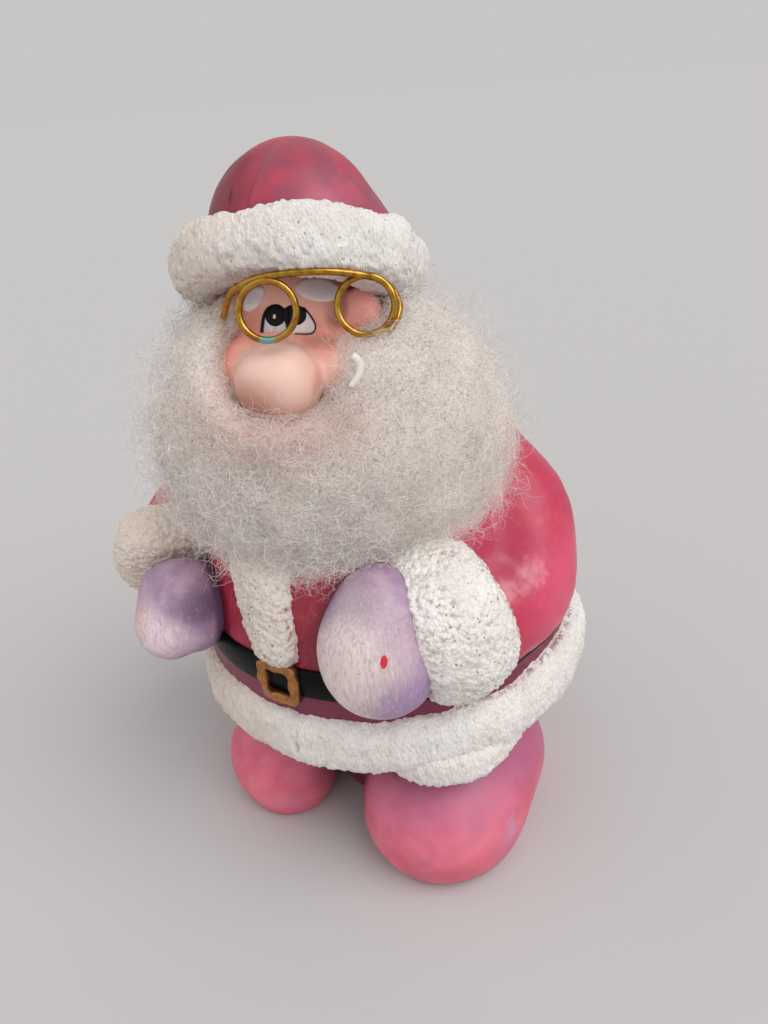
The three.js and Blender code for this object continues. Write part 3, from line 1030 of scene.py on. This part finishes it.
fur_ring("hem_fur", 460, 58, hem_shape, BRISTLES, (1.15, 1.15, 0.7))
fur_ring("brim_fur", 340, 72, brim_shape, COMBED, (1.1, 1.1, 0.8), bumps=BRIM_BUMPS)
fur_ring("boot_fur", 200, 34, boot_fur_shape, BRISTLES, (1, 1, 0.8), 0.3)
fur_disc("left_cuff", 230, 82, cuff_shape(LEFT_ARM["cuff"]))
fur_disc("right_cuff", 180, 66, cuff_shape(RIGHT_ARM["cuff"]))
fur_disc("placket_fur", 110, 110, placket_shape)


# Belt and buckle


def belt_paint():
    paint = Paint("belt_paint", shine=0.12)
    paint.mottle((3, 4), (1, 2, 2), (4, 4, 4), 0.4, 0.7)
    return paint.finish(paint.rise(paint.noise(1.5, 4), 0.3, 0.25), paint.noise(1.1, 4), 0.05, 0.5)


def make_belt():
    around, section = BELT["counts"]
    turn, tilt = angle_grid(around, full_turn(section))
    half = (BELT["top"] - BELT["bottom"]) / 2
    half_width = BELT["half_width"]
    radius = BELT["radius"] - half_width + half_width * uneven(np.cos(tilt), 0.4)
    points = about_axis(turn, radius, BELT["bottom"] + half + half * uneven(np.sin(tilt), 0.4))
    points[:, 1] *= np.where(points[:, 1] > 0, BACK_DEPTH, 1)
    points[:, 0] *= np.where(points[:, 0] > 0, LEFT_WIDTH, 1)
    points[:, 2] += noise(points * (1, 1, 0), 5, 21) * 0.35
    make_object("belt", points, sheet_faces(around, section, True, True)[:, ::-1], belt_paint())


def buckle_paint():
    paint = Paint("buckle_paint")
    paint.mottle((1.2, 4, 0.6, 0.5), (128, 76, 24), (172, 108, 38))
    paint.wash(paint.value("rim"), 0.35, 0.9, 1, (74, 44, 18))
    return paint.finish(0.38, paint.noise(0.6, 4), 0.08, 0.8)


def make_buckle():
    """An uneven square ring with round corners, bent round the jacket."""
    around, section = BUCKLE["counts"]
    turn, tilt = angle_grid(around, full_turn(section))
    bar = BUCKLE["bar"] / 2
    reach = np.abs(np.cos(turn)) ** 6 + np.abs(np.sin(turn)) ** 6
    square = reach[:, None] ** (-1 / 6) * joined(np.cos(turn), np.sin(turn))
    middle = square * (BUCKLE["width"] / 2 - bar, BUCKLE["height"] / 2 - bar)
    flat = middle + unit(middle) * (bar * uneven(np.cos(tilt), 0.7))[:, None]
    depth = BUCKLE["radius"] + BUCKLE["thick"] / 2 * uneven(np.sin(tilt), 0.7)
    depth = depth + noise(np.column_stack([flat, depth]), 1.3, 31) * 0.24
    place = np.column_stack([flat, depth])
    flat = flat + joined(noise(place, 1.6, 32), noise(place, 1.6, 33)) * 0.34
    bearing = math.radians(BUCKLE["turn"]) + flat[:, 0] / BUCKLE["radius"]
    points = about_axis(bearing, depth, BUCKLE["middle"] + flat[:, 1])
    make_object("buckle", points, sheet_faces(around, section, True, True), buckle_paint(),
                rim=1 - np.clip(np.sin(tilt), 0, 1))


make_belt()
make_buckle()


# Eyes and brows: thin coats of paint that lie on the face. Places are across and up, in the
# head's frame.

EYE_LEFT = [
    (-4.25, -0.3), (-4.15, 1.2), (-3.8, 2.5), (-3.0, 3.45), (-2.0, 3.6), (-1.1, 3.15), (-0.55, 2.2),
    (-0.42, 0.8), (-0.44, -0.3), (-2.3, -0.4),
]
EYE_RIGHT = [
    (-0.4, -0.3), (-0.38, 1.4), (-0.05, 2.6), (0.8, 3.55), (1.7, 3.35), (2.6, 2.4), (3.25, 1.5),
    (3.5, 0.7), (3.3, 0.0), (2.5, -0.3), (1.0, -0.34),
]
PUPILS = [((-2.3, 2.1), (1.66, 1.7)), ((0.45, 2.2), (1.9, 1.6))]
GLINTS = [((-2.42, 1.95), (0.3, 0.42))]
LASH_LINES = [
    ([(-4.28, -0.35), (-4.2, 0.8), (-4.0, 2.0), (-3.5, 3.0), (-2.7, 3.5)], (0.27, 0.22)),
    ([(-0.42, -0.35), (-0.45, 0.5), (-0.6, 1.3), (-0.75, 2.0), (-0.7, 2.8)], (0.14, 0.5)),
    (
        [(1.7, 3.4), (2.5, 2.6), (3.2, 1.6), (3.52, 0.7), (3.2, -0.1), (2.4, -0.36), (0.6, -0.38)],
        (0.12, 0.07),
    ),
]
BROWS = [((-5.9, 4.5), (2.3, 1.3), 50), ((3.7, 6.1), (3.3, 1.8), -4)]


def closed_path(points, steps):
    """Points round a smooth closed outline."""
    around = [*points, *points[:3]]
    return smooth_path(around, steps * (len(around) - 1))[steps:-steps - 1]


def drape(flat, lift):
    """Places on the face, or above it, for places across and up."""
    local = np.column_stack([flat[:, 0], np.full(len(flat), -24.0), flat[:, 1]])
    for _ in range(60):
        local[:, 1] += head_field(from_head(local)) * 0.7
    points = from_head(local)
    return points + normals_of(head_field, points) * np.reshape(lift, (-1, 1))


def oval(middle, size, tilt=0, steps=48):
    angle, turn = full_turn(steps), math.radians(tilt)
    across, up = size[0] * np.cos(angle), size[1] * np.sin(angle)
    cos, sin = math.cos(turn), math.sin(turn)
    return joined(middle[0] + across * cos - up * sin, middle[1] + across * sin + up * cos)


def coat(outline, thick, rings=8):
    """A closed patch of paint with a rounded edge that lies on the face."""
    middle = outline.mean(axis=0)
    rows = []
    for ring in range(rings + 1):
        share = ring / rings
        rows.append(drape(middle + (outline - middle) * share, thick * math.sqrt(1 - share**4) - 0.02))
    rows.append(drape(middle + (outline - middle) * 0.5, -0.25))
    rows.append(drape(middle + outline * 0, -0.3))
    return welded(np.vstack(rows), sheet_faces(len(rows), len(outline), False, True))[:2]


def flat_paint(name, first, second, size, roughness, shine=0.5):
    paint = Paint(name, shine=shine)
    paint.mottle((size, 3, 0.6, 0.3), first, second, place=paint.stretched((1, 1, 0.3)))
    return paint.finish(roughness)


def brow_paint():
    paint = Paint("brow_paint")
    paint.mottle((1.4,), (248, 240, 238), (238, 228, 228))
    for (across, up), (wide, high), _ in BROWS:
        middle, size = head_place((across, 0, up)), (wide * 0.75, 30, high * 0.7)
        paint.mark(middle, size, 0.9, 0.3, 0.6, (208, 200, 212), HEAD_TURN)
    return paint.finish(0.6)


def make_eyes():
    whites = [coat(closed_path(points, 6), 0.1) for points in (EYE_LEFT, EYE_RIGHT)]
    white = flat_paint("eye_white", (232, 222, 220), (204, 192, 194), 0.7, 0.35)
    make_object("eye_whites", *merged(whites), white)
    dark = [coat(oval(middle, size), 0.19) for middle, size in PUPILS]
    for points, widths in LASH_LINES:
        line = drape(smooth_path(points, 24), 0.1)
        dark.append(sweep(line, np.linspace(*widths, len(line)), 6))
    black = flat_paint("eye_black", (5, 5, 6), (14, 12, 13), 0.5, 0.5, 0.2)
    make_object("pupils", *merged(dark), black)
    glints = [coat(oval(middle, size, 0, 20), 0.26, 4) for middle, size in GLINTS]
    make_object("eye_glints", *merged(glints), white)
    brows = [coat(oval(middle, size, tilt), 0.28) for middle, size, tilt in BROWS]
    make_object("eyebrows", *merged(brows), brow_paint())


make_eyes()


# A curved crumb of white slip caught in the fluff on the left cheek

FLECK = [
    (9.44, -18.4, -3.3), (10.01, -18.4, -3.7), (10.51, -18.5, -4.2), (10.68, -18.6, -5.0),
    (10.38, -18.8, -6.0), (9.86, -18.9, -6.8), (9.33, -19.0, -7.5),
]
FLECK_RADII = (0.6, 0.42)


def make_fleck():
    path = from_head(smooth_path(FLECK, 24))
    crumb = flat_paint("slip_crumb", (240, 234, 226), (226, 218, 210), 0.7, 0.6)
    make_object("slip_crumb", *sweep(path, np.linspace(*FLECK_RADII, len(path)), 8), crumb)


make_fleck()


# Spectacles


def brass_paint():
    """Tarnished a little, with a blue-green spot under one ring."""
    paint = Paint("brass_wire", 1.0)
    paint.mottle((1.5, 4), (186, 142, 62), (142, 100, 36), 0.35, 0.7)
    paint.mark(head_place((-2.3, -17.6, -1.7)), (1.1, 1.1, 0.7), 0.5, 0.9, 1, (122, 178, 176))
    return paint.finish(paint.rise(paint.noise(0.8, 4), 0.25, 0.14), paint.noise(0.4), 0.02, 0.4)


def make_spectacles():
    angle = full_turn(72)
    parts = []
    for x, y, z in RINGS:
        ring = joined(x + RING_RADIUS * np.cos(angle), y + 0 * angle, z + RING_RADIUS * np.sin(angle))
        parts.append(sweep(from_head(ring), WIRE_RADIUS, 14, True))
    parts.append(sweep(from_head(smooth_path(BAR, 160)), WIRE_RADIUS, 14))
    make_object("spectacle_wire", *merged(parts), brass_paint(), "brass", "spectacles")


make_spectacles()


# Beard: a soft core, see-through veils of fine lines, and curled fibres through and round them

CORE_DEPTH = 2.1
CORE_LINES = [(1.3, 0.03), (0.9, 0.035), (1.1, 0.03), (0.7, 0.045)]
VEILS = [(-1.1, 0.75), (-0.2, 0.5), (0.7, 0.34)]
VEIL_LINES = [(1.2, 0.028), (0.8, 0.035), (1.0, 0.028), (0.6, 0.04)]
# Each set of fibres: how many, steps along one, the length of a step and how far they stray
FIBRES = [(3900, 8, 1.0, 0.0), (3900, 8, 1.0, 0.05), (2800, 10, 0.95, 0.22)]
FIBRE_RADIUS = 0.021

# Painted shade low in the middle and towards the figure's right, away from the light, and pinker under
# the nose where the casting glows through
BEARD_SHADE = ((-9, -36, 76), (24, 18, 20), 1.4, 0.3, 0.5, (134, 119, 110))
BLUSH = (head_place((-0.5, -17, -12.5)), (12, 9, 5.6), 1.5, 0.5, 0.5, (194, 140, 127))


def core_field(points):
    depth = CORE_DEPTH + noise(points, 7, 41) * 0.9
    depth = depth - np.clip(1 - head_field(points) / 7, 0, 1) * 0.3
    return np.maximum(beard_field(points) + depth, 0.2 - casting_field(points))


def fine_lines(paint, kinds, start, sharp):
    """Sets of thin lines, each the level line of a noise."""
    for number, (size, width) in enumerate(kinds):
        level = paint.math("SUBTRACT", paint.noise(size, 2, 0.6, 0.8, start + number * 7.0), 0.5)
        yield paint.band(paint.math("ABSOLUTE", level), width, width * sharp)


def core_paint():
    """Soft grey, painted shade of the fluff's shadowed inside, under a tangle of thin light lines."""
    paint = Paint("beard_core_fluff")
    paint.mottle((6,), (186, 173, 163), (162, 149, 139))
    # Painted shade low in the middle and towards the figure's right
    paint.mark(*BEARD_SHADE)
    paint.over(paint.value("thin"), 0.75, (222, 170, 154))
    total = 0.0
    for line in fine_lines(paint, CORE_LINES, 0, 0):
        paint.over(line, 0.6, (236, 228, 221))
        total = paint.math("MAXIMUM", total, line)
    paint.mark(*BLUSH)
    return paint.finish(0.95, total, 0.22, 0.8)


def make_core():
    vertices, quads = surface(core_field, (-42, -46, 50), (42, 16, 116), 0.9)
    normals = normals_of(core_field, vertices)
    rough = noise(vertices, 1.6, 42) * 0.4 + noise(vertices, 0.9, 43) * 0.3
    thin = np.clip(1.4 - head_field(vertices) / 2.5, 0, 1)
    moved = vertices + normals * rough[:, None]
    make_object("beard_core", moved, quads, core_paint(), "fibre", "beard", thin=thin)
    return vertices, normals


def veil_paint():
    """See-through but for fine light lines, for the loose outer fluff."""
    paint = Paint("beard_veil")
    lines = 0.0
    for line in fine_lines(paint, VEIL_LINES, 30, 0.2):
        lines = paint.math("MAXIMUM", lines, line)
    alpha = paint.math("MULTIPLY", paint.rise(lines, 0.85, 0.14), paint.value("cover"), True)
    paint.plug(alpha, paint.shader["Alpha"])
    # Grey between the lines: painted shade of the fluff's inside, as on the core
    paint.colour = rgb(182, 168, 158)
    paint.over(paint.value("thin"), 0.6, (224, 170, 156))
    # Painted shade low in the middle and towards the figure's right
    paint.mark(*BEARD_SHADE)
    paint.over(lines, 1, (240, 232, 225))
    paint.mark(*BLUSH)
    return paint.finish(0.9)


def make_veils():
    material = veil_paint()
    for number, (level, cover) in enumerate(VEILS, 1):
        def field(points):
            lumps = noise(points, 5, 44 + number) * 0.9
            return np.maximum(beard_field(points) - level + lumps, 0.35 - casting_field(points))

        vertices, quads = surface(field, (-42, -48, 48), (42, 18, 118), 1.4)
        thin = np.clip(1.3 - head_field(vertices) / 4, 0, 1)
        cover = cover * (0.8 + 0.35 * noise(vertices, 4, 48)) + thin * 0.25
        veil = make_object(f"beard_veil_{number}", vertices, quads, material, "fibre", "beard",
                           cover=cover, thin=thin)
        veil.visible_shadow = False


def fibre_paths(roots, normals, steps, step, wild):
    """Curled paths that start under the fluff's surface."""
    count = len(roots)
    normals = normals + rng.normal(0, 0.15, (count, 3))
    aside = unit(np.cross(normals, rng.normal(0, 1, (count, 3))))
    outward = rng.uniform(0.0, 0.8, (count, 1)) + wild
    heading = unit(aside + normals * outward)
    target = rng.uniform(-2.4, 0.3, count) + wild * 3
    centre = roots + normals * rng.uniform(-0.3, 2.0, (count, 1))
    phase = rng.uniform(0, 2 * math.pi, count)
    pace = rng.uniform(0.7, 1.7, count) * rng.choice((-1, 1), count)
    curl = rng.uniform(0.15, 0.5, (count, 1))
    rows = []
    for _ in range(steps + 1):
        side = unit(np.cross(heading, normals))
        lift = np.cross(side, heading)
        rows.append(centre + curl * (np.cos(phase)[:, None] * side + np.sin(phase)[:, None] * lift))
        normals = normals_of(beard_field, centre)
        drift = np.clip((target - beard_field(centre)) * 0.12, -0.4, 0.4)
        heading = unit(heading + normals * drift[:, None] + rng.normal(0, 0.33, (count, 3)))
        centre = centre + heading * step
        inside = np.clip(0.5 - casting_field(centre), 0, 2)
        centre = centre + normals_of(casting_field, centre) * inside[:, None]
        phase = phase + pace
    return np.stack(rows, axis=1)


def make_fibres(name, roots, normals, material, steps, step, wild):
    """Closed three-sided fibres in one mesh, thinner towards their ends."""
    paths = fibre_paths(roots, normals, steps, step, wild)
    count, rows = paths.shape[:2]
    tangent = unit(np.gradient(paths, axis=1))
    across = unit(np.cross(tangent, (0.36, 0.48, 0.8)))
    upward = np.cross(tangent, across)
    along = np.linspace(-1, 1, rows)
    radius = FIBRE_RADIUS * rng.uniform(0.7, 1.2, (count, 1)) * (1 - 0.7 * along**4)
    corners = []
    for angle in full_turn(3):
        offset = math.cos(angle) * across + math.sin(angle) * upward
        corners.append(paths + radius[..., None] * offset)
    vertices = np.stack(corners, axis=2).reshape(-1, 3)
    first = (np.arange(count)[:, None] * rows * 3 + np.arange(rows - 1) * 3).ravel()
    faces = []
    for side in range(3):
        a, b = first + side, first + (side + 1) % 3
        faces += [joined(a, b, b + 3), joined(a, b + 3, a + 3)]
    starts = np.arange(count) * rows * 3
    ends = starts + (rows - 1) * 3
    faces += [joined(starts, starts + 2, starts + 1), joined(ends, ends + 1, ends + 2)]
    tone = np.repeat(rng.uniform(0, 1, count), rows * 3)
    piece = make_object(name, vertices, np.vstack(faces), material, "fibre", "beard", tone=tone)
    piece.visible_shadow = False


def make_beard():
    vertices, normals = make_core()
    make_veils()
    paint = Paint("beard_fibre")
    paint.colour = paint.mix(paint.value("tone"), rgb(216, 205, 196), rgb(255, 252, 248))
    material = paint.finish(0.36)
    for number, (count, *run) in enumerate(FIBRES, 1):
        chosen = rng.integers(0, len(vertices), count)
        make_fibres(f"beard_fibres_{number}", vertices[chosen], normals[chosen], material, *run)


make_beard()
